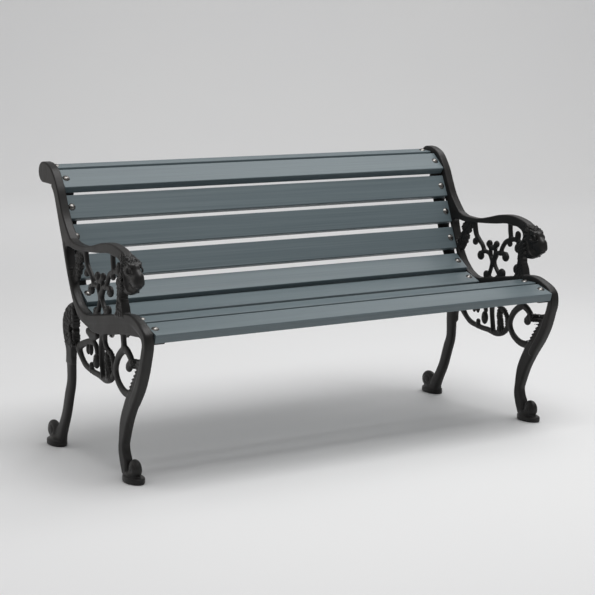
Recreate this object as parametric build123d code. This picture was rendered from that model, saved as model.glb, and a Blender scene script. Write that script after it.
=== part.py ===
from build123d import *
import math
import os

# A slatted garden bench with two cast end frames and eleven timber slats, in millimetres.
# X runs along the bench, the sitter faces -Y, and Z is up.
# The outlines below are side views, as (y, z) points measured from the floor, midway
# between the front and rear feet. Everything is shifted at the end, so that the origin
# is the middle of the bench's footprint.

# Driving dimensions
FRAME_SPACING = 1260.0      # between the middles of the two end castings
BAND_THICK = 24.0           # width of the raised bands, along X
PLATE_THICK = 15.0          # seat rail plate, on the outer side of the casting
WEB_THICK = 8.0             # wall that carries the ledge, on the inner side
LACE_THICK = 8.0            # open scrollwork
LEG_THICK = 22.0
HEAD_THICK = 34.0           # the animal head on the arm
LEDGE_REACH = 34.0          # how far the ledge under the slats stands in from the casting
LEDGE_THICK = 7.0
LEDGE_OVERHANG = 1.5        # how far the ledge runs past a slat's edge
LEDGE_INSET = 3.0           # how far it stops short, behind the two top slats
LEDGE_NOSE = 5.0            # how far it stops short of the front slat's front edge
BRIDGE_THICK = 3.6          # its thickness between two slats

SLAT_WIDTH = 65.5
TOP_SLAT_WIDTH = 50.0
SLAT_THICK = 23.5
SLAT_ROUND = 2.5
SLAT_END_GAP = 1.0          # between a slat's end and the casting
SLAT_BORE_RADIUS = 4.5

BOLT_INSET = 15.0           # from the casting's inner face to the bolts
BOLT_RADIUS = 4.0           # M8 coach bolt
BOLT_HEAD_RADIUS = 10.0
BOLT_HEAD_HEIGHT = 5.0
BOLT_TAIL = 3.0             # thread that stands out of the nut
WASHER_RADIUS = 8.0
WASHER_THICK = 1.6
NUT_FLATS = 13.0
NUT_HEIGHT = 6.5
THREAD_GAP = 0.1

PAD_LENGTH = 84.0
PAD_WIDTH = 48.0
PAD_HEIGHT = 16.0
FOOT_REACH = 229.0          # from the middle of the stance to each pad's middle
TOE_THICK = 26.0

MID = FRAME_SPACING / 2
INNER = MID - BAND_THICK / 2
OUTER = MID + BAND_THICK / 2
LACE_MID = MID - 2.0

# Each slat: name, the middle of its face as (y, z), its lean back from upright, its width
SLATS = [
    ("top_slat", 259.0, 747.5, 84.0, TOP_SLAT_WIDTH),
    ("back_slat_1", 193.5, 718.9, 49.0, SLAT_WIDTH),
    ("back_slat_2", 160.4, 646.4, 24.0, SLAT_WIDTH),
    ("back_slat_3", 135.9, 571.5, 21.0, SLAT_WIDTH),
    ("back_slat_4", 110.9, 495.2, 23.0, SLAT_WIDTH),
    ("back_slat_5", 73.0, 430.0, 55.0, SLAT_WIDTH),
    ("seat_slat_1", 19.0, 388.0, 70.0, SLAT_WIDTH),
    ("seat_slat_2", -64.0, 376.0, 92.0, SLAT_WIDTH),
    ("seat_slat_3", -148.0, 389.0, 99.0, SLAT_WIDTH),
    ("seat_slat_4", -231.7, 405.0, 88.0, SLAT_WIDTH),
    ("seat_slat_5", -303.0, 391.5, 72.0, SLAT_WIDTH),
]


def along(lean):
    """Unit vector up a slat's face, in the side view."""
    return math.sin(math.radians(lean)), math.cos(math.radians(lean))


def behind(lean):
    """Unit vector from a slat's face into the slat, in the side view."""
    return math.cos(math.radians(lean)), -math.sin(math.radians(lean))


def face_point(slat, up, deep):
    """The point that lies up the slat from its middle and deep below its face."""
    name, y, z, lean, width = slat
    a = along(lean)
    b = behind(lean)
    return y + up * a[0] + deep * b[0], z + up * a[1] + deep * b[1]


# Side-view shapes

def strap(*stations):
    """A smooth strap through (y, z, width) stations, with round ends."""
    count = len(stations)
    left = []
    right = []
    for i, (y, z, width) in enumerate(stations):
        before = stations[max(i - 1, 0)]
        after = stations[min(i + 1, count - 1)]
        run = Vector(after[0] - before[0], after[1] - before[1]).normalized()
        side = Vector(-run.Y, run.X) * (width / 2)
        left.append(Vector(y, z) + side)
        right.append(Vector(y, z) - side)
    first = Vector(stations[0][0], stations[0][1])
    last = Vector(stations[-1][0], stations[-1][1])
    start = first - (Vector(stations[1][0], stations[1][1]) - first).normalized() * (stations[0][2] / 2)
    end = last + (last - Vector(stations[-2][0], stations[-2][1])).normalized() * (stations[-1][2] / 2)
    edges = [smooth(left), ThreePointArc(left[-1], end, right[-1]),
             smooth(right[::-1]), ThreePointArc(right[0], start, left[0])]
    return make_face(edges)


def smooth(points):
    """A spline through the points, or a line when there are only two."""
    if len(points) == 2:
        return Line(points[0], points[1])
    return Spline(*points)


def outline(*runs):
    """A face bounded by smooth runs, each one ending where the next begins."""
    edges = []
    for i, run in enumerate(runs):
        following = runs[(i + 1) % len(runs)]
        edges.append(smooth([Vector(*p) for p in run] + [Vector(*following[0])]))
    return make_face(edges)


def disc(y, z, radius):
    return Pos(y, z) * Circle(radius)


def sheet(profile, near, far):
    """A side-view face given thickness between two distances from the bench's middle."""
    return extrude(Plane.YZ.offset(near) * profile, far - near)


def total(shapes):
    """All the shapes fused."""
    result = shapes[0]
    for shape in shapes[1:]:
        result = result + shape
    return result


# End casting

def arm_band():
    """The band that starts behind the head, runs back as the armrest and climbs to the roll."""
    return outline(
        [(-244, 553), (-190, 576), (-150, 582), (-88, 579), (-38, 568), (12, 560.5), (62, 563),
         (97, 579), (130, 620), (150, 660), (168, 700), (197, 740), (230, 757)],
        [(257, 760.5)],
        [(257, 705.5), (207, 703)],
        [(190, 682), (172, 642), (154, 590), (133, 543), (117, 503), (103, 465)],
        [(93, 466), (107, 503), (116, 548)],
        [(60, 545), (10, 547.5), (-70, 552), (-125, 557), (-200, 556)],
    )


def seat_band():
    """The raised band over the seat rail, from the knee back and up behind the arm."""
    return outline(
        [(-325, 328), (-332, 352), (-331, 375), (-318, 393), (-285, 411), (-245, 418.5), (-142, 406),
         (-70, 395), (5, 386.5), (42, 402), (74, 432), (95, 466), (112, 510), (124, 556)],
        [(138, 556), (124, 510), (107, 466)],
        [(84, 412), (34, 371), (-3, 354)],
        [(-58, 349), (-113, 352), (-204, 367), (-262, 372), (-298, 370)],
        [(-308, 352), (-302, 326)],
    )


def seat_rim():
    """The proud edge that runs up the front leg, back over the slats' ends and up behind the arm."""
    return strap((-245, 203, 18), (-273, 243, 22), (-293, 281, 22), (-309, 321, 22), (-320, 352, 22),
                 (-319, 375, 22), (-300, 392, 22), (-250, 408, 22), (-210, 406.5, 22),
                 (-143, 396, 22), (-71, 385, 22), (3, 376, 22), (40, 386, 20), (64, 405, 17),
                 (87, 435, 15), (100, 462, 14), (112, 490, 14), (121, 520, 14), (131, 553, 14))


def front_leg():
    """The front leg, widest at the knee and narrowest above the foot."""
    return outline(
        [(-331, 345), (-318, 310), (-303, 277), (-281, 237), (-252, 197), (-222, 150),
         (-201, 100), (-198, 85), (-207, 55)],
        [(-215, 12)],
        [(-189, 12)],
        [(-177, 40), (-169, 75), (-173, 105), (-184, 150), (-209, 207), (-232, 236)],
        [(-250, 262), (-268, 288), (-268, 309)],
        [(-290, 316), (-306, 345)],
    )


def rear_leg():
    """The rear leg and the leaf-shaped swelling above it."""
    return outline(
        [(90, 395), (87, 352), (87, 325), (92, 300), (102, 275)],
        [(113, 245), (115.5, 190), (129, 150), (148.5, 100), (168, 65)],
        [(184, 14)],
        [(225, 14)],
        [(219, 40), (202, 66), (183.5, 100), (166, 150), (151.5, 190), (152.5, 240)],
        [(141, 285), (147, 324), (143, 360), (119, 389), (80, 410)],
    )


def toes():
    """The scrolled toes: the front one points forward and the rear one points back."""
    front = outline([(-258, 12), (-263, 30), (-256, 50), (-240, 60)], [(-204, 57)], [(-192, 12)])
    rear = outline([(192, 12)], [(205, 60)], [(222, 64), (246, 66), (268, 54), (275, 34)], [(270, 12)])
    return front + rear


def lace():
    """The open scrollwork under the arm and under the seat rail."""
    knobs = [
        (-168, 526, 14), (-131, 497, 9), (-116, 459, 14), (-96, 411, 15), (-33, 399, 14),
        (-3, 452, 14), (22, 493, 12), (-216, 288, 14), (-27, 271, 17), (4, 252, 9), (12, 292, 11),
    ]
    straps = [
        [(-137.5, 562, 17), (-137, 540, 16), (-141, 514, 16)],
        [(-180, 506, 16), (-160, 513, 14), (-136, 511, 14), (-112, 500, 13), (-98, 480, 13), (-92, 466, 13)],
        [(-116, 470, 14), (-98, 468, 13), (-80, 466, 13), (-70, 448, 12)],
        [(-2, 463, 13), (-22, 467, 12), (-42, 463, 12), (-56, 447, 12)],
        [(-18, 468, 13), (-9, 484, 14), (8, 498, 15), (22, 515, 17), (27, 545, 18)],
        [(-72, 492, 16), (-62, 480, 15), (-50, 480, 15), (-38, 490, 20)],
        [(-68, 482, 10), (-69, 460, 10), (-64, 440, 14)],
        [(-50, 482, 10), (-49, 460, 10), (-58, 440, 14)],
        [(-64, 442, 14), (-72, 422, 13), (-88, 400, 14)],
        [(-60, 442, 14), (-52, 420, 12), (-46, 390, 13)],
        [(48, 548, 26), (62, 530, 26), (70, 500, 27), (84, 470, 24)],
        [(-190, 372, 20), (-188, 352, 18), (-190, 328, 18)],
        [(-275, 298, 24), (-250, 300, 24), (-222, 300, 20)],
        [(-224, 304, 19), (-209, 322, 19), (-190, 328, 19), (-168, 316, 18), (-149, 298, 17),
         (-139, 272, 16), (-146, 247, 16), (-164, 229, 17), (-190, 219, 18), (-222, 217, 20)],
        [(-32, 280, 18), (-42, 305, 20), (-40, 355, 26)],
        [(-72, 345, 20), (-66, 318, 16), (-62, 290, 14), (-60, 250, 14)],
        [(2, 355, 30), (4, 330, 36), (10, 310, 14), (12, 298, 12)],
        [(-100, 236, 20), (-70, 233, 20), (-20, 239, 20), (30, 246, 19), (66, 262, 20), (100, 288, 26)],
        [(-34, 308, 16), (-8, 320, 14), (24, 319, 13), (50, 307, 14), (80, 288, 20)],
        [(4, 254, 12), (4, 240, 14)],
    ]
    leaf = outline(
        [(-132, 276), (-128, 252), (-108, 235), (-84, 226)],
        [(-82, 260), (-83, 300), (-74, 318), (-80, 352)],
        [(-100, 350), (-104, 322), (-122, 304)],
    )
    bulges = outline([(-188, 474), (-164, 484), (-162, 500), (-176, 512)], [(-196, 500)])
    bulges = bulges + outline([(-188, 448), (-160, 440), (-160, 422), (-170, 404)], [(-196, 410)])
    return total([disc(*k) for k in knobs] + [strap(*s) for s in straps] + [leaf, bulges])


def post():
    """The upright that carries the head, from the seat rail to the arm."""
    return outline(
        [(-206, 410), (-203, 435), (-194, 460), (-205, 490)],
        [(-215, 560)],
        [(-190, 560), (-190, 530), (-180, 510), (-176, 470), (-176, 450), (-168, 410)],
    )


def head():
    """The animal head in profile, looking forward from the end of the arm."""
    return outline(
        [(-196, 575), (-230, 561), (-264, 544)],
        [(-270, 529), (-280, 521), (-288, 508), (-285, 496)],
        [(-268, 486), (-256, 475), (-240, 467)],
        [(-208, 465)],
        [(-196, 470), (-196, 520), (-196, 545)],
    )


def slat_zone(shallow, deep):
    """The side view of the strip between two depths behind the slats' faces."""
    middle = deep - BRIDGE_THICK / 2
    pieces = []
    for i, slat in enumerate(SLATS):
        half = slat[4] / 2 + (LEDGE_OVERHANG if i > 1 else -LEDGE_INSET)
        low = half if i + 1 < len(SLATS) else slat[4] / 2 - LEDGE_NOSE
        corners = [face_point(slat, half, shallow), face_point(slat, half, deep),
                   face_point(slat, -low, deep), face_point(slat, -low, shallow)]
        pieces.append(make_face(Polyline(*corners, close=True)))
        if i + 1 < len(SLATS):
            following = SLATS[i + 1]
            start = face_point(slat, LEDGE_INSET - half, middle)
            end = face_point(following, following[4] / 2 - LEDGE_INSET, middle)
            pieces.append(strap((*start, BRIDGE_THICK), (*end, BRIDGE_THICK)))
    return total(pieces)


def pad(y):
    """A flat foot under one leg, rounded at both ends."""
    shape = Pos(MID, y) * SlotOverall(PAD_LENGTH, PAD_WIDTH, rotation=90)
    body = extrude(shape, PAD_HEIGHT)
    return chamfer(body.faces().sort_by(Axis.Z)[-1].edges(), PAD_HEIGHT / 4)


def bolt_axis(slat, x):
    """A frame on a bolt's axis: its origin is on the slat's face and its z points into the slat."""
    name, y, z, lean, width = slat
    inward = behind(lean)
    return Plane(origin=(x, y, z), x_dir=(1, 0, 0), z_dir=(0, inward[0], inward[1]))


def end_frame():
    """The right-hand casting."""
    ledge_deep = SLAT_THICK + LEDGE_THICK
    body = total([
        sheet(arm_band() + disc(257, 733, 27.5), INNER, OUTER),
        sheet(seat_band(), OUTER - PLATE_THICK, OUTER),
        sheet(seat_rim(), INNER, OUTER),
        sheet(slat_zone(2, ledge_deep), INNER, INNER + WEB_THICK),
        sheet(slat_zone(SLAT_THICK, ledge_deep), INNER - LEDGE_REACH, INNER + WEB_THICK),
        sheet(front_leg() + rear_leg(), MID - LEG_THICK / 2, MID + LEG_THICK / 2),
        sheet(lace(), LACE_MID - LACE_THICK / 2, LACE_MID + LACE_THICK / 2),
        sheet(post(), MID - LEG_THICK / 2, MID + LEG_THICK / 2),
        sheet(head(), MID - HEAD_THICK / 2, MID + HEAD_THICK / 2),
        sheet(toes(), MID - TOE_THICK / 2, MID + TOE_THICK / 2),
        pad(-FOOT_REACH),
        pad(FOOT_REACH),
    ])
    for slat in SLATS:
        drill = bolt_axis(slat, INNER - BOLT_INSET) * Cylinder(SLAT_BORE_RADIUS, 4 * SLAT_THICK)
        body = body - drill
    return body


# Slats and fasteners

def slat_solid(slat):
    """One slat, with rounded long edges and a bolt hole near each end."""
    name, y, z, lean, width = slat
    length = 2 * (INNER - SLAT_END_GAP)
    centre = face_point(slat, 0, SLAT_THICK / 2)
    place = Plane(origin=(0, centre[0], centre[1]), x_dir=(1, 0, 0), z_dir=(0, *behind(lean)))
    body = Box(length, width, SLAT_THICK)
    body = fillet(body.edges().filter_by(Axis.X), SLAT_ROUND)
    body = place * body
    for x in (-INNER + BOLT_INSET, INNER - BOLT_INSET):
        body = body - bolt_axis(slat, x) * Cylinder(SLAT_BORE_RADIUS, 4 * SLAT_THICK)
    return body


def bolt():
    """A coach bolt: a domed head on the slat's face and a shank into +Z."""
    dome_radius = (BOLT_HEAD_RADIUS**2 + BOLT_HEAD_HEIGHT**2) / (2 * BOLT_HEAD_HEIGHT)
    dome = Pos(0, 0, dome_radius - BOLT_HEAD_HEIGHT) * Sphere(dome_radius)
    dome = dome & Pos(0, 0, -BOLT_HEAD_HEIGHT / 2) * Cylinder(2 * dome_radius, BOLT_HEAD_HEIGHT)
    length = SLAT_THICK + LEDGE_THICK + WASHER_THICK + NUT_HEIGHT + BOLT_TAIL
    return dome + Pos(0, 0, length / 2) * Cylinder(BOLT_RADIUS, length)


def washer():
    top = SLAT_THICK + LEDGE_THICK + WASHER_THICK / 2
    ring = Cylinder(WASHER_RADIUS, WASHER_THICK) - Cylinder(BOLT_RADIUS + THREAD_GAP, WASHER_THICK)
    return Pos(0, 0, top) * ring


def nut():
    base = SLAT_THICK + LEDGE_THICK + WASHER_THICK
    shape = RegularPolygon(NUT_FLATS / 2, 6, major_radius=False) - Circle(BOLT_RADIUS + THREAD_GAP)
    return Pos(0, 0, base) * extrude(shape, NUT_HEIGHT)


def fastener_row(piece, x):
    """One fastener for every slat, at one end of the bench."""
    return Compound([bolt_axis(slat, x) * piece for slat in SLATS])


# Assembly

def write(node, shape):
    """Save one node, moved so that the footprint's middle is at the origin."""
    export_step(Pos(0, -footprint_middle, 0) * shape, os.path.join("parts", node + ".step"))


os.makedirs("parts", exist_ok=True)
right = end_frame()
extent = right.bounding_box()
footprint_middle = (extent.min.Y + extent.max.Y) / 2
write("right_end_frame", right)
write("left_end_frame", mirror(right, about=Plane.YZ))
for entry in SLATS:
    write(entry[0], slat_solid(entry))
for side, sign in (("right", 1), ("left", -1)):
    x_bolt = sign * (INNER - BOLT_INSET)
    write("coach_bolts_" + side, fastener_row(bolt(), x_bolt))
    write("washers_" + side, fastener_row(washer(), x_bolt))
    write("nuts_" + side, fastener_row(nut(), x_bolt))
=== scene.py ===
"""Looks for the garden bench: two cast end frames, eleven stained slats and their bolts."""
import math

import bpy
import numpy as np
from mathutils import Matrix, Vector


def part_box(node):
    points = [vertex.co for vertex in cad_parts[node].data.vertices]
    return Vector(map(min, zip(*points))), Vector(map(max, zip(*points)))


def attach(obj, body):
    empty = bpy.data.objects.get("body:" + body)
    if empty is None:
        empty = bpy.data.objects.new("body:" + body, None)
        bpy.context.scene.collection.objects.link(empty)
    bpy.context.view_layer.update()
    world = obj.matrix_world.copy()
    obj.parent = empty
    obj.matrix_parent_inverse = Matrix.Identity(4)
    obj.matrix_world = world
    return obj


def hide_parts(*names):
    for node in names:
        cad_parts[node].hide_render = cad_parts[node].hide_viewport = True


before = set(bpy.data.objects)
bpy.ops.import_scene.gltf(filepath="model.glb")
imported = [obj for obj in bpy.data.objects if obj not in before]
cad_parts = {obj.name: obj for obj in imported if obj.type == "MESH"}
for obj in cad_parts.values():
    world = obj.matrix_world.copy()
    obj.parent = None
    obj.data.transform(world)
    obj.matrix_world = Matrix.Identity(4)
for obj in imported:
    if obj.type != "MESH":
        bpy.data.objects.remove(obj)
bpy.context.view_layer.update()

# ---------------------------------------------------------------- dimensions, mm
# Side views are (y, z) points measured from the floor, midway between the feet, as in
# the CAD model. SHIFT_Y moves them to the frame's own origin.
KNEE_Y = -332.93         # the foremost point of a casting
SHIFT_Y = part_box("right_end_frame")[0][1] * 1000.0 - KNEE_Y
MID = 630.0              # x of the middle of the right casting, and of parts of it that stand off it
FRONT_MID = 632.5        # the castings are thicker on the outside at the front
REAR_LEG_MID = 626.5
HUMP_MID = 629.5
POST_MID = 631.5
SEAT_MID = 634.5
SEAT_HALF = 7.5
ARM_HALF = 12.0
LACE_MID = 628.0
LACE_LEAN = 0.012
RIB_PITCH = 9.2
RIB_DEPTH = 1.9
CHASE_DEPTH = 1.1
SMALL_KNOB = 10.5        # knobs up to this radius have no spiral
CURL_DEPTH = 1.9
FOOT_REACH = 229.0
PAD_HALF_X = 23.8
PAD_HALF_Y = 41.8
PAD_EDGE = 3.5
ROLL_CENTRE = (257, 732.8)
ROLL_RADIUS = 27.5
SLAT_THICK = 23.5
LEDGE_THICK = 7.0
LEDGE_NOSE = 5.0
LEDGE_GAP = 0.2          # keeps the ledge's face clear of the slats
LEDGE_MID = 605.5
LEDGE_HALF = 20.5
WALL_MID = 622.0
WALL_HALF = 4.0

CAST_STEP = 2.0
HEAD_STEP = 1.15

TOP_SLAT_WIDTH = 50.0
SLAT_WIDTH = 65.5

SLATS = [   # middle of the face (y, z) and lean back from upright, top to front
    (259.0, 747.5, 84.0), (193.5, 718.9, 49.0), (160.4, 646.4, 24.0), (135.9, 571.5, 21.0),
    (110.9, 495.2, 23.0), (73.0, 430.0, 55.0), (19.0, 388.0, 70.0), (-64.0, 376.0, 92.0),
    (-148.0, 389.0, 99.0), (-231.7, 405.0, 88.0), (-303.0, 391.5, 72.0),
]


# ---------------------------------------------------------------- distance fields

def smooth_min(a, b, k):
    h = np.maximum(k - np.abs(a - b), 0.0) / k
    return np.minimum(a, b) - h * h * k * 0.25


def curve(points, per_span=7):
    """Catmull-Rom samples through points of any dimension."""
    p = np.array(points, dtype=float)
    p = np.vstack([2 * p[0] - p[1], p, 2 * p[-1] - p[-2]])
    t = np.linspace(0.0, 1.0, per_span, endpoint=False)[:, None]
    out = []
    for a, b, c, d in zip(p[:-3], p[1:-2], p[2:-1], p[3:]):
        out.append(0.5 * (2 * b + (c - a) * t + (2 * a - 5 * b + 4 * c - d) * t**2
                          + (3 * b - a - 3 * c + d) * t**3))
    return np.vstack(out + [p[-2:-1]])


def loop(*runs):
    """A closed outline: each run is smooth and ends where the next begins."""
    out = []
    for i, run in enumerate(runs):
        following = runs[(i + 1) % len(runs)][0]
        out.append(curve(list(run) + [following])[:-1])
    return np.vstack(out)


class Cast:
    """A block of space that castings are built up in, as a signed distance in mm."""

    def __init__(self, low, high, step):
        self.low = np.array(low, dtype=float)
        self.step = step
        counts = np.ceil((np.array(high) - self.low) / step).astype(int) + 1
        self.axes = [self.low[i] + step * np.arange(counts[i]) for i in range(3)]
        self.field = np.full(counts, 30.0, dtype=np.float32)

    def window(self, y0, y1, z0, z1, pad=9.0):
        """The part of the block near a side-view box, and its y and z grids."""
        ya, za = self.axes[1], self.axes[2]
        j = slice(np.searchsorted(ya, y0 - pad), np.searchsorted(ya, y1 + pad))
        k = slice(np.searchsorted(za, z0 - pad), np.searchsorted(za, z1 + pad))
        return (slice(None), j, k), ya[j][:, None], za[k][None, :]

    def add(self, where, distance, blend=3.0):
        self.field[where] = smooth_min(self.field[where], distance.astype(np.float32), blend)

    def cut(self, where, distance, blend=2.0):
        self.field[where] = -smooth_min(-self.field[where], distance.astype(np.float32), blend)

    def raised(self, side, middle, half, edge):
        """Turn a side-view distance into a plate with rounded edges."""
        x = np.abs(self.axes[0][:, None, None] - middle) - (half - edge)
        s = side + edge
        return (np.minimum(np.maximum(x, s[None]), 0.0)
                + np.hypot(np.maximum(x, 0.0), np.maximum(s[None], 0.0)) - edge)

    def plate(self, points, middle, half, edge, blend=3.0):
        """A plate with an outline for its side view. half and edge may be functions of z."""
        low, high = points.min(axis=0), points.max(axis=0)
        where, y, z = self.window(low[0], high[0], low[1], high[1])
        side = inside_distance(points, y, z)
        half = half(z) if callable(half) else half
        edge = edge(z) if callable(edge) else edge
        self.add(where, self.raised(side, middle, half, edge), blend)

    def bar(self, points, middle, power=2.3, blend=3.0, per_span=7):
        """A bar along (y, z, half width, half thickness) stations, with a rounded section.

        middle may be a function of y.
        """
        p = curve(points, per_span)
        reach = p[:, 2].max()
        where, y, z = self.window(p[:, 0].min() - reach, p[:, 0].max() + reach,
                                  p[:, 1].min() - reach, p[:, 1].max() + reach)
        d, w, t, _ = nearest(p, y, z)
        if callable(middle):
            middle = middle(y)[None]
        x = np.abs(self.axes[0][:, None, None] - middle)
        section = ((d / w)[None]**power + (x / t[None])**power)**(1.0 / power)
        self.add(where, (section - 1.0) * np.minimum(w, t)[None], blend)

    def ball(self, x, y, z, rx, ry, rz, blend=3.0, cut=False):
        where, yy, zz = self.window(y - ry, y + ry, z - rz, z + rz)
        xx = self.axes[0][:, None, None]
        d = np.sqrt(((xx - x) / rx)**2 + (((yy - y) / ry)**2 + ((zz - z) / rz)**2)[None])
        d = (d - 1.0) * min(rx, ry, rz)
        if cut:
            self.cut(where, d, blend)
        else:
            self.add(where, d, blend)

    def rod(self, points, blend=2.0, per_span=5):
        """A round rod through (x, y, z, radius) stations."""
        p = curve(points, per_span)
        reach = p[:, 3].max()
        where, y, z = self.window(p[:, 1].min() - reach, p[:, 1].max() + reach,
                                  p[:, 2].min() - reach, p[:, 2].max() + reach)
        x = self.axes[0][:, None, None]
        best = None
        for a, b in zip(p[:-1], p[1:]):
            run = b[:3] - a[:3]
            length = max(float(run @ run), 1e-9)
            t = ((x - a[0]) * run[0] + (y - a[1])[None] * run[1] + (z - a[2])[None] * run[2])
            t = np.clip(t / length, 0.0, 1.0)
            d = np.sqrt((x - a[0] - t * run[0])**2 + (y[None] - a[1] - t * run[1])**2
                        + (z[None] - a[2] - t * run[2])**2) - (a[3] + t * (b[3] - a[3]))
            best = d if best is None else np.minimum(best, d)
        self.add(where, best, blend)

    def engrave(self, points, width, depth, per_span=6):
        """Press a line into every surface that it crosses in the side view."""
        p = curve([(a, b, width, width) for a, b in points], per_span)
        where, y, z = self.window(p[:, 0].min() - width, p[:, 0].max() + width,
                                  p[:, 1].min() - width, p[:, 1].max() + width, 2 * width)
        d, _, _, _ = nearest(p, y, z)
        self.field[where] += (depth * np.exp(-(d / width)**2)).astype(np.float32)[None]

    def surface(self):
        """Vertices and quads of the zero surface, by surface nets."""
        f = self.field
        inside = f < 0.0
        cells = np.zeros(np.array(f.shape) - 1, dtype=np.uint8)
        corners = [(i, j, k) for i in (0, 1) for j in (0, 1) for k in (0, 1)]
        n = cells.shape
        for i, j, k in corners:
            cells += inside[i:i + n[0], j:j + n[1], k:k + n[2]]
        active = np.argwhere((cells > 0) & (cells < 8))
        index = np.full(n, -1, dtype=np.int64)
        index[tuple(active.T)] = np.arange(len(active))
        total = np.zeros((len(active), 3))
        count = np.zeros(len(active))
        for a in corners:
            for axis in range(3):
                if a[axis]:
                    continue
                b = list(a)
                b[axis] = 1
                fa = f[tuple((active + a).T)]
                fb = f[tuple((active + b).T)]
                crossing = (fa < 0) != (fb < 0)
                t = fa[crossing] / (fa[crossing] - fb[crossing])
                total[crossing] += a
                total[crossing, axis] += t
                count[crossing] += 1
        verts = active + total / count[:, None]
        verts = self.settle(verts)
        quads = []
        for axis in range(3):
            u, v = (axis + 1) % 3, (axis + 2) % 3
            here = [slice(1, -1)] * 3
            here[axis] = slice(0, -1)
            there = list(here)
            there[axis] = slice(1, None)
            start, end = inside[tuple(here)], inside[tuple(there)]
            shift = np.array([1, 1, 1])
            shift[axis] = 0
            for sense in (True, False):
                at = np.argwhere((start != end) & (start == sense)) + shift
                du, dv = np.zeros(3, int), np.zeros(3, int)
                du[u], dv[v] = 1, 1
                ring = [at - du - dv, at - dv, at, at - du]
                if not sense:
                    ring = ring[::-1]
                quads.append(np.stack([index[tuple(c.T)] for c in ring], axis=1))
        return self.low + verts * self.step, np.vstack(quads)

    def sample(self, p):
        f = self.field
        base = np.clip(np.floor(p).astype(int), 0, np.array(f.shape) - 2)
        t = p - base
        out = np.zeros(len(p))
        for i in (0, 1):
            for j in (0, 1):
                for k in (0, 1):
                    w = (t[:, 0] if i else 1 - t[:, 0]) * (t[:, 1] if j else 1 - t[:, 1]) \
                        * (t[:, 2] if k else 1 - t[:, 2])
                    out += w * f[base[:, 0] + i, base[:, 1] + j, base[:, 2] + k]
        return out

    def settle(self, p):
        """Slide the vertices onto the zero surface, by no more than half a step."""
        start = p.copy()
        for _ in range(2):
            value = self.sample(p)
            slope = np.stack([self.sample(p + e) - self.sample(p - e)
                              for e in np.eye(3) * 0.5], axis=1)
            p = p - 0.8 * value[:, None] * slope / np.maximum((slope**2).sum(axis=1), 1e-6)[:, None]
            p = start + np.clip(p - start, -0.5, 0.5)
        return p


def nearest(p, y, z):
    """Distance to a station line in the side view, and the widths at the nearest point."""
    best = None
    for i, (a, b) in enumerate(zip(p[:-1], p[1:])):
        run = b[:2] - a[:2]
        length = max(float(run @ run), 1e-9)
        t = np.clip(((y - a[0]) * run[0] + (z - a[1]) * run[1]) / length, 0.0, 1.0)
        d = np.hypot(y - a[0] - t * run[0], z - a[1] - t * run[1])
        w = a[2] + t * (b[2] - a[2])
        h = a[3] + t * (b[3] - a[3])
        if best is None:
            best, score = [d, w, h, i + t], d - w
            continue
        closer = d - w < score
        score = np.where(closer, d - w, score)
        best = [np.where(closer, new, old) for new, old in zip((d, w, h, i + t), best)]
    return best


def inside_distance(points, y, z):
    """Signed distance to a closed outline in the side view, negative inside."""
    far = np.full(np.broadcast(y, z).shape, 1e9)
    odd = np.zeros(far.shape, dtype=bool)
    for a, b in zip(points, np.roll(points, -1, axis=0)):
        run = b - a
        length = max(float(run @ run), 1e-9)
        t = np.clip(((y - a[0]) * run[0] + (z - a[1]) * run[1]) / length, 0.0, 1.0)
        far = np.minimum(far, (y - a[0] - t * run[0])**2 + (z - a[1] - t * run[1])**2)
        if a[1] != b[1]:
            crosses = (z >= min(a[1], b[1])) & (z < max(a[1], b[1]))
            odd ^= crosses & (y < a[0] + (z - a[1]) * run[0] / run[1])
    return np.where(odd, -1.0, 1.0) * np.sqrt(far)


def circle(y, z, radius, count=40):
    a = np.linspace(0, 2 * math.pi, count, endpoint=False)
    return np.stack([y + radius * np.cos(a), z + radius * np.sin(a)], axis=1)


# ---------------------------------------------------------------- the end frame

ARM = loop(
    [(-222, 563.5), (-207, 571), (-183, 577.5), (-158, 582), (-128, 583), (-88, 579), (-38, 568),
     (12, 560.5), (62, 563), (82, 569), (97, 579), (130, 620), (150, 660), (168, 700), (197, 740),
     (230, 757)],
    [(257, 760.3)],
    [(257, 705.5), (207, 703)],
    [(207, 700), (190, 680), (174, 640), (153, 583), (136, 543), (120, 503), (112, 483)],
    [(104, 465)],
    [(93, 466), (107, 503), (116, 548)],
    [(60, 545), (10, 547.5), (-70, 552), (-125, 557.5), (-155, 554), (-173, 553), (-192, 545), (-203, 531)],
    [(-205, 515), (-216, 512)],
)

SEAT = loop(
    [(-325, 328), (-332, 347), (-332, 370), (-327, 385), (-305, 400), (-280, 411), (-250, 418.5),
     (-210, 417), (-142, 406), (-70, 395), (0, 386.5), (31, 395), (53.5, 409.5), (84, 443), (105, 485),
     (121, 540), (126, 560)],
    [(138, 560), (124, 512), (107, 466)],
    [(84, 412), (60, 380), (40, 367), (-3, 354)],
    [(-30, 347), (-60, 346), (-89, 347), (-117, 354), (-204, 366), (-262, 370), (-296, 370)],
    [(-308, 350), (-302, 326)],
)

SEAT_RIM = [    # (y, z, half width, half thickness) stations
    (-244, 201, 9, 12), (-275, 243, 11, 13), (-297, 282, 11, 13), (-311.5, 321, 11, 13),
    (-320.5, 349, 11, 13), (-320.4, 368, 11, 13), (-315, 380, 11, 13), (-296, 392, 11, 13),
    (-250, 407.5, 11, 12), (-210, 406.5, 11, 12), (-143, 396, 11, 12), (-71, 385, 11, 12), (3, 376.5, 10, 12),
    (38, 386.5, 9, 12), (64, 406, 8, 12), (87, 435, 7.5, 12), (112, 490, 7, 12), (131, 553, 7, 12),
]

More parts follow.
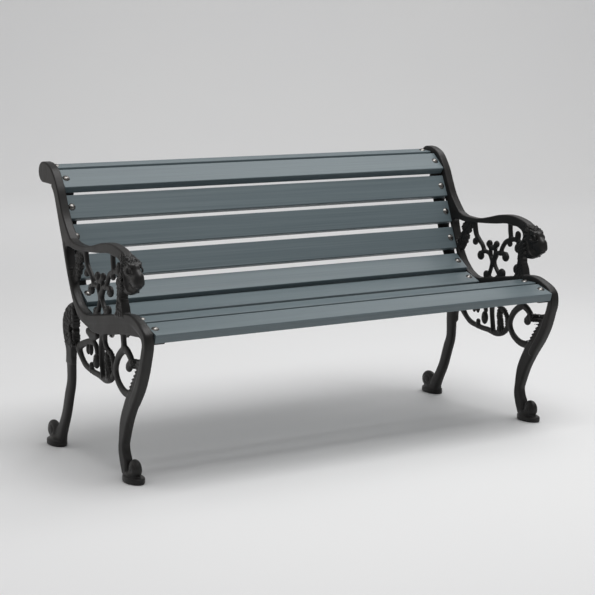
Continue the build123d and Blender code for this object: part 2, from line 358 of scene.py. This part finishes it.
FRONT_LEG = loop(
    [(-331.5, 347), (-321.5, 317), (-307, 277), (-285, 237), (-256, 197), (-226, 150), (-204, 100),
     (-200, 85), (-204, 68), (-212, 50)],
    [(-214, 14)],
    [(-188, 14)],
    [(-177, 40), (-170, 70), (-173, 100), (-182, 150), (-207, 200), (-230, 233)],
    [(-250, 262), (-269, 287), (-272, 309)],
    [(-292, 316), (-303, 330), (-308, 347)],
)

HUMP = loop(
    [(88, 396), (86, 365), (88, 336), (86, 312), (92, 298), (104, 280)],
    [(108, 262), (110, 240)],
    [(149, 240), (143, 262), (142, 279), (149, 303), (155, 325), (156, 345), (151, 363), (134, 385),
     (107, 402)],
    [(80, 411)],
)

REAR_LEG = [    # (y, z, half width, half thickness) stations
    (131, 268, 19, 9), (131, 240, 19.5, 9), (133, 190, 18, 9), (147.5, 150, 18.5, 9.5), (166, 100, 17.5, 10),
    (185, 65, 17, 11), (201, 38, 19, 12), (206, 22, 18, 13),
]

POST = loop(
    [(-212, 408), (-206, 435), (-199, 450), (-197, 462), (-204, 480)],
    [(-210, 520), (-208, 562)],
    [(-200, 562), (-199, 530), (-190, 512), (-180, 500), (-177, 470), (-176, 450), (-170, 425), (-167, 408)],
)

LACE = [    # (y, z, half width) stations
    [(-134, 566, 7.5), (-134, 540, 7), (-138, 514, 7)],
    [(-184, 503, 9), (-172, 509, 8), (-158, 514, 7), (-140, 512, 7), (-116, 503, 7), (-100, 484, 6.5),
     (-93, 466, 6)],
    [(-116, 468, 6), (-98, 468, 6.5), (-80, 466, 6.5), (-68, 448, 6)],
    [(-2, 460, 6), (-22, 466, 6), (-42, 462, 6), (-54, 447, 6)],
    [(-20, 466, 6), (-10, 484, 6.5), (6, 498, 7), (20, 515, 8), (28, 550, 9)],
    [(-72, 491, 8), (-62, 480, 7), (-50, 480, 7), (-38, 489, 8)],
    [(-70, 482, 5), (-68, 460, 5), (-63, 440, 7)],
    [(-48, 482, 5), (-49, 460, 5), (-58, 440, 7)],
    [(-61, 446, 6.5), (-72, 424, 5.5), (-90, 403, 6.5), (-98, 396, 7)],
    [(-59, 446, 6.5), (-51, 420, 5.5), (-42, 400, 6), (-34, 388, 7)],
    [(42, 548, 13), (60, 530, 13), (70, 500, 14), (84, 470, 12)],
    [(-185.5, 372, 11), (-187, 352, 9), (-190, 330, 9)],
    [(-227, 310, 9), (-212, 322, 10), (-195, 327, 10.5), (-174, 317, 10), (-155, 301, 9.5),
     (-143, 280, 8.5), (-141, 262, 8.5), (-150, 243, 9), (-168, 228, 9.5), (-190, 219, 10), (-215, 217, 11)],
    [(-129, 268, 6), (-126, 288, 6.5), (-113, 303, 7), (-94, 311, 7), (-80, 326, 7), (-78, 352, 8)],
    [(-129, 270, 6), (-128, 252, 7), (-118, 243, 8), (-103, 235, 9), (-78, 231, 9), (-45, 236, 8),
     (-15, 238, 7.5), (12, 242, 7.5), (40, 249, 8), (62, 264, 8), (80, 284, 11)],
    [(20, 340, 10), (-6, 334, 14), (-30, 336, 9)],
    [(84, 290, 12), (62, 299, 10), (40, 307, 9), (18, 314, 8), (-5, 316, 7.5), (-24, 309, 7), (-31, 292, 6)],
    [(4, 258, 5), (3, 240, 6)],
]

KNOBS = [   # y, z, radius along y, radius along z, half thickness
    (-167.5, 526, 11, 14, 7), (-133, 499, 9, 9, 6.5), (-115, 459, 13.5, 13.5, 8), (-100, 410, 14, 14, 8),
    (-31, 398, 13, 13, 8), (-3, 452, 13.5, 13.5, 8), (23, 491, 11, 11, 7), (-75, 492, 10, 10.5, 7),
    (-43, 491, 11, 11, 7), (-216, 287, 13, 13, 8), (-26, 270, 12, 20, 9), (3, 254, 7, 7, 6),
    (-80, 395, 8, 8, 6.5), (-48, 390, 8, 8, 6.5), (-170, 490, 14, 14, 9), (-166, 429, 14, 15, 9),
    (23, 294, 7, 15, 6), (6, 295, 7, 16, 6),
]


def slat_plane(slat, y, z):
    """Distances up a slat's face from its middle, and behind its face."""
    a = math.radians(slat[2])
    up = (y - slat[0]) * math.sin(a) + (z - slat[1]) * math.cos(a)
    behind = (y - slat[0]) * math.cos(a) - (z - slat[1]) * math.sin(a)
    return up, behind


def box_distance(a, b, half_a, half_b):
    u, v = np.abs(a) - half_a, np.abs(b) - half_b
    return np.minimum(np.maximum(u, v), 0.0) + np.hypot(np.maximum(u, 0.0), np.maximum(v, 0.0))


def ledges(c):
    """The ledge that the slats are bolted to, and the wall that joins it to the band."""
    deep = SLAT_THICK + LEDGE_THICK
    widths = [TOP_SLAT_WIDTH] + [SLAT_WIDTH] * (len(SLATS) - 1)
    for i, (slat, width) in enumerate(zip(SLATS, widths)):
        y0, z0, _ = slat
        where, y, z = c.window(y0 - 50, y0 + 50, z0 - 50, z0 + 50)
        up, behind = slat_plane(slat, y, z)
        at_an_end = i in (0, len(SLATS) - 1)
        reach = width / 2 - (4 if at_an_end else 1)
        low = 0 if at_an_end else 10
        if i + 1 == len(SLATS):
            up = up - LEDGE_NOSE / 2
            reach -= LEDGE_NOSE / 2
        wall = box_distance(up, behind - (deep + low) / 2, reach, (deep - low) / 2 - 1)
        c.add(where, c.raised(wall, WALL_MID, WALL_HALF, 1.0), 2.0)
        ledge = box_distance(up, behind - SLAT_THICK - LEDGE_THICK / 2 - LEDGE_GAP,
                             reach + 2, LEDGE_THICK / 2 - LEDGE_GAP)
        c.add(where, c.raised(ledge, LEDGE_MID, LEDGE_HALF, 1.2), 1.0)
    edge = [slat_point(slat, u, deep - 3.0) for slat, width in zip(SLATS, widths)
            for u in (width / 2 - 8, 8 - width / 2)]
    for a, b in zip(edge[1:-1:2], edge[2::2]):
        c.bar([(*a, 3.0, LEDGE_HALF), (*b, 3.0, LEDGE_HALF)], LEDGE_MID, 8.0, 1.0)


def slat_point(slat, up, behind):
    a = math.radians(slat[2])
    return (slat[0] + up * math.sin(a) + behind * math.cos(a),
            slat[1] + up * math.cos(a) - behind * math.sin(a))


def rim_middle(y):
    """The rim stands further out at the knee than over the slats' ends."""
    return MID + (FRONT_MID - MID) * np.clip((-250.0 - y) / 50.0, 0.0, 1.0)


def lace_middle(y):
    """The open scrollwork leans outwards a little towards the front."""
    return LACE_MID - LACE_LEAN * np.clip(y, -220.0, 60.0)


def hump_half(z):
    """The leaf over the rear leg thins out where it runs into the leg."""
    return 11.0 - 4.5 * np.clip((292.0 - z) / 45.0, 0.0, 1.0)


def knee_share(z):
    """How far up from the ankle to the knee, from 0 to 1."""
    return np.clip((z - 150.0) / 100.0, 0.0, 1.0)


def leg_half(z):
    """The front leg's half thickness: thin behind the knee's band, fuller at the ankle."""
    return 11.5 - 2.0 * knee_share(z)


def leg_edge(z):
    """The rounding of the front leg's edges: small at the knee, nearly full at the ankle."""
    return 6.5 - 3.0 * knee_share(z)


def foot(c, reach, toe, turn):
    """A pad, the scrolled toe above it and the toe's spiral groove."""
    where, y, z = c.window(reach - 45, reach + 45, 0, 20)
    x = c.axes[0][:, None, None]
    plan = (np.sqrt(((x - MID) / PAD_HALF_X)**2 + ((y - reach) / PAD_HALF_Y)[None]**2) - 1.0) * PAD_HALF_X
    rise = (np.abs(z - 8.0) - 4.5)[None]
    plan = plan + PAD_EDGE
    c.add(where, np.minimum(np.maximum(plan, rise), 0)
          + np.hypot(np.maximum(plan, 0), np.maximum(rise, 0)) - PAD_EDGE, 2.0)
    c.ball(MID, toe[0], toe[1], 14.5, toe[2], toe[3], 5.0)
    c.ball(MID, reach + 6 * turn, 20, 17, 26, 9, 5.0)
    spiral = []
    for i in range(9):
        a = turn * (math.pi * (0.1 + 0.22 * i))
        r = 0.68 * (1.0 - i / 11.0)
        spiral.append((toe[0] - turn * toe[2] * r * math.cos(a), toe[1] + toe[3] * r * math.sin(a) * turn))
    c.engrave(spiral, 2.2, 1.5)


def end_frame():
    """Everything in the casting except the lion's head."""
    c = Cast((578, -340, -6), (662, 292, 767), CAST_STEP)
    ledges(c)
    c.plate(SEAT, SEAT_MID, SEAT_HALF, 3.0)
    c.plate(FRONT_LEG, FRONT_MID, leg_half, leg_edge, 4.0)
    c.plate(HUMP, HUMP_MID, hump_half, 4.5, 4.0)
    c.bar(REAR_LEG, REAR_LEG_MID, 2.8, 5.0)
    c.plate(ARM, MID, ARM_HALF, 3.0, 3.0)
    c.plate(circle(*ROLL_CENTRE, ROLL_RADIUS), MID, ARM_HALF, 3.0, 1.0)
    c.bar(SEAT_RIM, rim_middle, 6.0, 3.0)
    c.plate(POST, POST_MID, 12.5, 5.0, 4.0)
    for stations in LACE:
        c.bar([(y, z, w, 5.0 + 0.12 * w) for y, z, w in stations], lace_middle, 2.6, 3.0)
    for y, z, ry, rz, t in KNOBS:
        c.ball(lace_middle(y), y, z, t, ry, rz, 2.0)
    leaf_lobes(c)
    c.bar([(-290, 298, 12, 8), (-262, 299, 10, 7), (-238, 300, 9, 7), (-222, 296, 9, 7)], MID, 3.0, 3.0)
    for y, r in ((-238, 12), (-249, 13.5), (-260, 13.5)):
        c.ball(MID, y, 299.5, 10.0, 4.0, r, 1.0)
    foot(c, -FOOT_REACH, (-239.5, 36, 23.5, 24), 1)
    foot(c, FOOT_REACH, (243, 38, 32.5, 27), -1)
    relief(c)
    return c


def leaf_lobes(c):
    """The leaf at the front of the lower scrollwork, and the wide leaf behind the arm."""
    lace = lace_middle(-100.0)
    c.bar([(-66, 236, 5, 8), (-62, 262, 4, 8), (-59, 290, 4.5, 8), (-60, 318, 7, 8), (-68, 350, 11, 7)],
          lace_middle, 2.6, 3.0)
    for y, z, ry, rz in ((-98, 262, 11, 24), (-94, 288, 9, 22), (-102, 243, 16, 12)):
        c.ball(lace, y, z, 9.0, ry, rz, 4.0)
    for y, z, ry, rz in ((-110, 286, 8.5, 11), (-114, 268, 7, 6.5)):
        c.ball(lace, y, z, 12, ry, rz, 2.0, cut=True)
    c.ball(lace_middle(-57.0), -57, 462, 12, 4.5, 10, 1.5, cut=True)
    for y, z, ry, rz in ((62, 528, 24, 17), (72, 500, 18, 22), (90, 480, 14, 20)):
        c.ball(lace_middle(70.0), y, z, 8.0, ry, rz, 3.0)
    for y, z in ((111, 334), (104, 319), (97, 305)):
        c.ball(MID, y, z, 30, 4.0, 9.0, 1.5, cut=True)
    c.ball(MID, 126, 316, 30, 3.0, 4.0, 1.5, cut=True)
    c.ball(LACE_MID, 84, 512, 14, 3.0, 10, 1.5, cut=True)


def relief(c):
    """Ribs down the knee, leaf veins, spirals on the knobs and a chased texture on the leaves."""
    knee_ribs(c)
    for i in range(5):
        a = math.radians(200 + 32 * i)
        c.engrave([(100, 340), (100 + 20 * math.cos(a), 340 + 26 * math.sin(a)),
                   (100 + 40 * math.cos(a + 0.25), 340 + 52 * math.sin(a + 0.25))], 2.6, 2.2)
    for i in range(4):
        a = math.radians(-30 + 34 * i)
        c.engrave([(96, 352), (96 + 22 * math.cos(a), 352 + 22 * math.sin(a)),
                   (96 + 44 * math.cos(a + 0.3), 352 + 42 * math.sin(a + 0.3))], 2.6, 2.2)
    for y, z, ry, rz, _ in KNOBS:
        if ry > SMALL_KNOB:
            turns = [(y + ry * (0.62 - 0.09 * i) * math.cos(0.9 * i),
                      z + rz * (0.62 - 0.09 * i) * math.sin(0.9 * i)) for i in range(7)]
            c.engrave(turns, 1.8, 1.6)
    for dy in (-9, 0, 9):
        c.engrave([(-190 + dy * 0.5, 446), (-192 + dy, 426), (-191 + dy * 1.4, 412)], 2.0, 2.0)
    for i in range(4):
        c.engrave([(-207 + 5 * i, 566 - 3 * i), (-216 + 4 * i, 550 - 3 * i), (-220 + 4 * i, 535 - 3 * i)],
                  1.5, 1.3)
    c.engrave([(-108, 242), (-104, 262), (-96, 284), (-90, 306)], 2.0, 1.6)
    c.engrave([(44, 540), (60, 522), (76, 498), (84, 474)], 2.2, 2.2)
    for dy, dz in ((-14, 8), (-2, -8), (6, -24)):
        c.engrave([(62 + dy, 520 + dz), (52 + dy, 514 + dz), (46 + dy, 502 + dz)], 1.8, 1.8)
    c.engrave([(-185.5, 366), (-187, 350), (-189, 336)], 1.8, 1.2)
    for leaf in ((-205, -160, 405, 515), (-130, -78, 232, 318), (36, 108, 468, 545), (72, 150, 285, 400)):
        chase(c, *leaf)


def knee_ribs(c):
    """Cross ribs down the front leg, behind its smooth front edge."""
    where, y, z = c.window(-310, -215, 228, 322, 0.0)
    front = -300.0 + 0.62 * (322.0 - z)
    inside = np.clip((y - front) / 4.0, 0.0, 1.0) * np.clip((front + 44.0 - y) / 6.0, 0.0, 1.0)
    ribs = RIB_DEPTH * inside * np.cos((z + 0.15 * y) * 2 * math.pi / RIB_PITCH)
    c.field[where] += ribs.astype(np.float32)[None]


def chase(c, y0, y1, z0, z1):
    """Small hammered dimples over a leaf."""
    where, y, z = c.window(y0, y1, z0, z1, 0.0)
    fade = (np.clip(np.minimum(y - y0, y1 - y) / 6.0, 0.0, 1.0)
            * np.clip(np.minimum(z - z0, z1 - z) / 6.0, 0.0, 1.0))
    dimples = np.sin(0.62 * y + 0.21 * z) * np.sin(0.55 * z - 0.17 * y) + 0.5 * np.sin(0.9 * y - 0.7 * z)
    c.field[where] += (CHASE_DEPTH * fade * dimples).astype(np.float32)[None]


# ---------------------------------------------------------------- the lion's head

TUFTS = [   # root (y, z) and run (dy, dz), over the brow and then behind the cheek
    (-256, 541, 10, 6), (-246, 545, 11, 5), (-235, 547, 11, 4), (-226, 545, 12, 0), (-252, 548, 12, 5),
    (-240, 553, 12, 5), (-226, 557, 12, 4), (-221, 536, 11, -5), (-220, 524, 11, -9), (-217, 511, 9, -12),
    (-217, 497, 9, -13), (-219, 483, 10, -10),
]


def lion():
    """The head: a crest that carries on from the arm, deep round eyes and a heavy smooth muzzle."""
    c = Cast((606, -298, 452), (654, -176, 592), HEAD_STEP)
    c.bar([(-186, 567, 9, 12), (-207, 560.5, 9.5, 11.5), (-224, 553, 9.5, 9.5), (-242, 545.5, 9, 7.5),
           (-260, 537, 8, 6.5)], MID, 3.0, 3.0)
    c.ball(MID, -231, 528, 17.0, 28, 25, 5.0)
    c.ball(MID, -226, 497, 14.5, 21, 28, 6.0)
    c.rod([(MID, -214, 482, 14.5), (MID, -234, 481, 13.5), (MID, -250, 484, 12), (MID, -262, 489, 9.5)], 6.0)
    # nose bridge and muzzle
    c.rod([(MID, -250, 534, 11), (MID, -263, 526, 10.5), (MID, -275, 517, 10)], 6.0)
    c.ball(MID, -262, 506, 15.0, 25, 17.5, 8.0)
    c.ball(MID, -273, 500, 13.0, 15, 14, 6.0)
    c.ball(MID, -278, 514, 8.5, 8.0, 6.5, 4.0)
    for s in (-1, 1):
        c.ball(MID + 10.0 * s, -246, 541, 7.5, 15.0, 8.0, 4.0)
        c.ball(MID + 9.0 * s, -223, 548, 8.0, 14, 9.0, 4.0)
        # deep round sockets under a raised brow, the eye and its lower lid
        c.ball(MID + 18.5 * s, -249, 528, 8.5, 10.5, 8.0, 2.0, cut=True)
        brow = [(MID + s * (15.0 + 1.8 * math.cos(a)), -249 - 12 * math.cos(a), 528 + 10 * math.sin(a), 2.6)
                for a in np.linspace(-0.2, math.pi, 9)]
        c.rod(brow, 2.0)
        c.ball(MID + 11.5 * s, -251, 529, 3.4, 3.8, 3.4, 1.0)
        c.rod([(MID + 12.0 * s, -266, 522, 2.0), (MID + 14.5 * s, -252, 518.5, 3.2),
               (MID + 15.5 * s, -238, 521, 2.6)], 2.0)
        # hollow behind the muzzle, jaw line and cheek fold
        c.ball(MID + 19 * s, -243, 500, 5.5, 9.0, 9.0, 3.0, cut=True)
        c.rod([(MID + 14.5 * s, -221, 520, 2.6), (MID + 15.0 * s, -228, 507, 3.4),
               (MID + 14.0 * s, -229, 492, 3.4), (MID + 12.5 * s, -240, 479, 3.4),
               (MID + 9 * s, -252, 476, 3.4)], 2.5)
        for y, z, dy, dz in TUFTS:
            x = MID + s * (14.5 if z < 546 else 9.5)
            c.rod([(x, y, z, 2.8), (x + 1.2 * s, y + 0.5 * dy, z + 0.5 * dz + 1.0, 3.6),
                   (x, y + dy, z + dz, 2.0)], 1.4)
    c.engrave([(-284, 493), (-270, 488), (-256, 491), (-246, 498)], 1.5, 1.5)
    x, y, z = c.axes[0][:, None, None], c.axes[1][None, :, None], c.axes[2][None, None, :]
    mane = (np.clip((z - 534.0 + 0.5 * (y + 235.0)) / 8.0, 0.0, 1.0)
            * np.clip((562.0 - z - 0.4 * (y + 215.0)) / 5.0, 0.0, 1.0))
    back = (np.clip((y + 226.0) / 6.0, 0.0, 1.0) * np.clip((z - 464.0) / 8.0, 0.0, 1.0)
            * np.clip((552.0 - z) / 8.0, 0.0, 1.0))
    curls = (np.sin(0.7 * x + 0.45 * z) * np.sin(0.62 * y + 0.3 * x) * np.sin(0.5 * z - 0.33 * y)
             + 0.6 * np.sin(1.2 * y + 0.8 * z) * np.sin(0.9 * z - 0.5 * x))
    c.field += (CURL_DEPTH * np.maximum(mane, back) * curls).astype(np.float32)
    return c


# ---------------------------------------------------------------- meshes

def to_object(name, verts, quads, mirrored):
    """A Blender object from a casting's surface, in metres in the CAD frame."""
    v = (verts + np.array([0.0, SHIFT_Y, 0.0])) / 1000.0
    if mirrored:
        v = v * np.array([-1.0, 1.0, 1.0])
        quads = quads[:, ::-1]
    mesh = bpy.data.meshes.new(name)
    mesh.vertices.add(len(v))
    mesh.vertices.foreach_set("co", v.ravel())
    mesh.loops.add(quads.size)
    mesh.loops.foreach_set("vertex_index", quads.ravel().astype(np.int32))
    mesh.polygons.add(len(quads))
    mesh.polygons.foreach_set("loop_start", np.arange(0, quads.size, 4, dtype=np.int32))
    mesh.update(calc_edges=True)
    mesh.validate()
    mesh.shade_smooth()
    obj = bpy.data.objects.new(name, mesh)
    bpy.context.scene.collection.objects.link(obj)
    return obj


# ---------------------------------------------------------------- materials

def new_material(name, colour, roughness):
    mat = bpy.data.materials.new(name)
    mat.use_nodes = True
    nodes, links = mat.node_tree.nodes, mat.node_tree.links
    shader = nodes["Principled BSDF"]
    shader.inputs["Base Color"].default_value = (*colour, 1.0)
    shader.inputs["Roughness"].default_value = roughness
    return mat, nodes, links, shader


def noise(nodes, links, scale, detail, stretch=(1, 1, 1), rough=0.5):
    coords = nodes.new("ShaderNodeTexCoord")
    mapping = nodes.new("ShaderNodeMapping")
    mapping.inputs["Scale"].default_value = stretch
    tex = nodes.new("ShaderNodeTexNoise")
    tex.inputs["Scale"].default_value = scale
    tex.inputs["Detail"].default_value = detail
    tex.inputs["Roughness"].default_value = rough
    links.new(coords.outputs["Object"], mapping.inputs["Vector"])
    links.new(mapping.outputs["Vector"], tex.inputs["Vector"])
    return tex.outputs["Fac"]


def ramp(nodes, links, value, stops):
    r = nodes.new("ShaderNodeValToRGB")
    r.color_ramp.elements[0].position, r.color_ramp.elements[0].color = stops[0][0], (*stops[0][1], 1)
    r.color_ramp.elements[1].position, r.color_ramp.elements[1].color = stops[-1][0], (*stops[-1][1], 1)
    for place, colour in stops[1:-1]:
        e = r.color_ramp.elements.new(place)
        e.color = (*colour, 1)
    links.new(value, r.inputs["Fac"])
    return r.outputs["Color"]


def to_range(nodes, links, value, low, high):
    m = nodes.new("ShaderNodeMapRange")
    m.inputs["From Min"].default_value = 0.3
    m.inputs["From Max"].default_value = 0.7
    m.inputs["To Min"].default_value = low
    m.inputs["To Max"].default_value = high
    links.new(value, m.inputs["Value"])
    return m.outputs["Result"]


def bump(nodes, links, height, strength, distance, below=None):
    b = nodes.new("ShaderNodeBump")
    b.inputs["Strength"].default_value = strength
    b.inputs["Distance"].default_value = distance
    links.new(height, b.inputs["Height"])
    if below is not None:
        links.new(below, b.inputs["Normal"])
    return b.outputs["Normal"]


def iron_material():
    mat, nodes, links, shader = new_material("black_cast_iron", (0.014, 0.013, 0.0125), 0.42)
    shader.inputs["Specular IOR Level"].default_value = 0.33
    blotch = noise(nodes, links, 18, 4)
    grain = noise(nodes, links, 420, 3)
    pits = noise(nodes, links, 120, 2)
    colour = ramp(nodes, links, blotch, [(0.35, (0.0105, 0.0098, 0.0093)), (0.65, (0.0175, 0.0163, 0.0155))])
    links.new(colour, shader.inputs["Base Color"])
    links.new(to_range(nodes, links, blotch, 0.36, 0.50), shader.inputs["Roughness"])
    first = bump(nodes, links, pits, 0.35, 0.0006)
    links.new(bump(nodes, links, grain, 0.30, 0.0002, first), shader.inputs["Normal"])
    return mat


def slat_material():
    mat, nodes, links, shader = new_material("blue_grey_stained_wood", (0.115, 0.15, 0.164), 0.5)
    grain = noise(nodes, links, 1.0, 5, (2.2, 260, 260), 0.62)
    broad = noise(nodes, links, 1.0, 3, (1.2, 40, 40))
    colour = ramp(nodes, links, grain, [(0.25, (0.094, 0.126, 0.140)), (0.5, (0.115, 0.150, 0.164)),
                                        (0.78, (0.136, 0.173, 0.188))])
    tint = ramp(nodes, links, broad, [(0.3, (0.90, 0.91, 0.92)), (0.7, (1.08, 1.07, 1.06))])
    mix = nodes.new("ShaderNodeMix")
    mix.data_type = "RGBA"
    mix.blend_type = "MULTIPLY"
    mix.inputs["Factor"].default_value = 1.0
    links.new(colour, mix.inputs["A"])
    links.new(tint, mix.inputs["B"])
    links.new(mix.outputs["Result"], shader.inputs["Base Color"])
    links.new(to_range(nodes, links, grain, 0.40, 0.52), shader.inputs["Roughness"])
    links.new(bump(nodes, links, grain, 0.22, 0.0003), shader.inputs["Normal"])
    return mat


def steel_material():
    mat, nodes, links, shader = new_material("dull_dark_steel", (0.20, 0.19, 0.185), 0.3)
    shader.inputs["Metallic"].default_value = 1.0
    spots = noise(nodes, links, 300, 3)
    links.new(ramp(nodes, links, spots, [(0.3, (0.13, 0.124, 0.118)), (0.7, (0.24, 0.23, 0.22))]),
              shader.inputs["Base Color"])
    links.new(to_range(nodes, links, spots, 0.22, 0.34), shader.inputs["Roughness"])
    links.new(bump(nodes, links, spots, 0.1, 0.0001), shader.inputs["Normal"])
    return mat


def floor_material():
    mat, nodes, links, shader = new_material("studio_floor", (0.80, 0.80, 0.80), 0.75)
    shader.inputs["Specular IOR Level"].default_value = 0.2
    links.new(ramp(nodes, links, noise(nodes, links, 0.6, 2),
                   [(0.3, (0.795, 0.795, 0.80)), (0.7, (0.805, 0.805, 0.805))]),
              shader.inputs["Base Color"])
    return mat


# ---------------------------------------------------------------- the pieces

iron = iron_material()
slat_wood = slat_material()
steel = steel_material()

body_surface = end_frame().surface()
head_surface = lion().surface()
for side, mirrored in (("right", False), ("left", True)):
    for name, (verts, quads) in (("casting", body_surface), ("lion_head", head_surface)):
        piece = to_object(f"{name}_{side}", verts, quads, mirrored)
        piece.data.materials.append(iron)
        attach(piece, "root")
        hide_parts(f"{side}_end_frame")

for name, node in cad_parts.items():
    if "slat" in name:
        material = slat_wood
    elif "end_frame" in name:
        material = iron
    else:
        material = steel
    for holder in node.material_slots:
        holder.material = material

# ---------------------------------------------------------------- studio

CAMERA_AZIMUTH = math.radians(-32.262)
CAMERA_ELEVATION = math.radians(8.828)
ALONG = (math.cos(CAMERA_AZIMUTH), math.sin(CAMERA_AZIMUTH))
AWAY = (-math.sin(CAMERA_AZIMUTH), math.cos(CAMERA_AZIMUTH))
SWEEP_START = 7.0        # metres behind the bench, along the view, where the floor starts to rise
SWEEP_RADIUS = 4.0
FLOOR_HALF_WIDTH = 16.0

camera_data = bpy.data.cameras.new("camera")
camera_data.lens = 99.38
camera_data.sensor_width = 36.0
camera_data.clip_end = 100.0
camera = bpy.data.objects.new("camera", camera_data)
camera.location = (-2.3865, -3.768 + SHIFT_Y / 1000.0, 1.0707)
camera.rotation_euler = (math.pi / 2 - CAMERA_ELEVATION, 0.0, CAMERA_AZIMUTH)
bpy.context.scene.collection.objects.link(camera)
bpy.context.scene.camera = camera


def sweep():
    """A studio floor that curves up into a wall behind the bench."""
    profile = [(-14.0, 0.0), (-4.0, 0.0), (4.0, 0.0), (SWEEP_START, 0.0)]
    profile += [(SWEEP_START + SWEEP_RADIUS * math.sin(a), SWEEP_RADIUS * (1 - math.cos(a)))
                for a in np.linspace(0.05, math.pi / 2, 24)]
    profile.append((SWEEP_START + SWEEP_RADIUS, 9.0))
    verts = [(s * FLOOR_HALF_WIDTH * ALONG[0] + d * AWAY[0], s * FLOOR_HALF_WIDTH * ALONG[1] + d * AWAY[1], z)
             for d, z in profile for s in (-1, 1)]
    faces = [(2 * i, 2 * i + 1, 2 * i + 3, 2 * i + 2) for i in range(len(profile) - 1)]
    mesh = bpy.data.meshes.new("studio_floor")
    mesh.from_pydata(verts, [], faces)
    mesh.shade_smooth()
    obj = bpy.data.objects.new("studio_floor", mesh)
    bpy.context.scene.collection.objects.link(obj)
    obj.data.materials.append(floor_material())


def area_light(name, place, aim, size, watts, colour=(1, 1, 1)):
    data = bpy.data.lights.new(name, "AREA")
    data.shape = "RECTANGLE"
    data.size, data.size_y = size
    data.energy = watts
    data.color = colour
    obj = bpy.data.objects.new(name, data)
    obj.location = place
    from_to = np.array(aim, dtype=float) - np.array(place, dtype=float)
    flat = math.hypot(from_to[0], from_to[1])
    obj.rotation_euler = (math.atan2(flat, -from_to[2]), 0.0, math.atan2(-from_to[0], from_to[1]))
    bpy.context.scene.collection.objects.link(obj)


sweep()
area_light("key_softbox", (0.1, -0.75, 3.7), (0.0, 0.05, 0.3), (2.4, 2.0), 74.0)
area_light("rear_softbox", (1.9, 0.6, 3.0), (0.0, 0.0, 0.5), (1.7, 1.6), 21.0)
area_light("side_strip", (-2.4, 2.6, 0.9), (-0.63, 0.0, 0.5), (1.6, 2.0), 6.0, (1.0, 0.96, 0.91))
area_light("backdrop_light", (4.5 * AWAY[0], 4.5 * AWAY[1], 5.0), (9.5 * AWAY[0], 9.5 * AWAY[1], 1.2),
           (9.0, 2.0), 160.0)


def studio_world():
    """Soft light from above that fades to dark below the horizon."""
    world = bpy.data.worlds.new("studio")
    world.use_nodes = True
    nodes, links = world.node_tree.nodes, world.node_tree.links
    coords = nodes.new("ShaderNodeTexCoord")
    split = nodes.new("ShaderNodeSeparateXYZ")
    height = nodes.new("ShaderNodeMapRange")
    height.inputs["From Min"].default_value = -1.0
    links.new(coords.outputs["Generated"], split.inputs["Vector"])
    links.new(split.outputs["Z"], height.inputs["Value"])
    links.new(ramp(nodes, links, height.outputs["Result"],
                   [(0.0, (0.05, 0.05, 0.05)), (0.5, (0.12, 0.12, 0.12)), (1.0, (0.60, 0.60, 0.60))]),
              nodes["Background"].inputs["Color"])
    nodes["Background"].inputs["Strength"].default_value = 1.0
    bpy.context.scene.world = world


studio_world()
bpy.context.scene.view_settings.view_transform = "Standard"
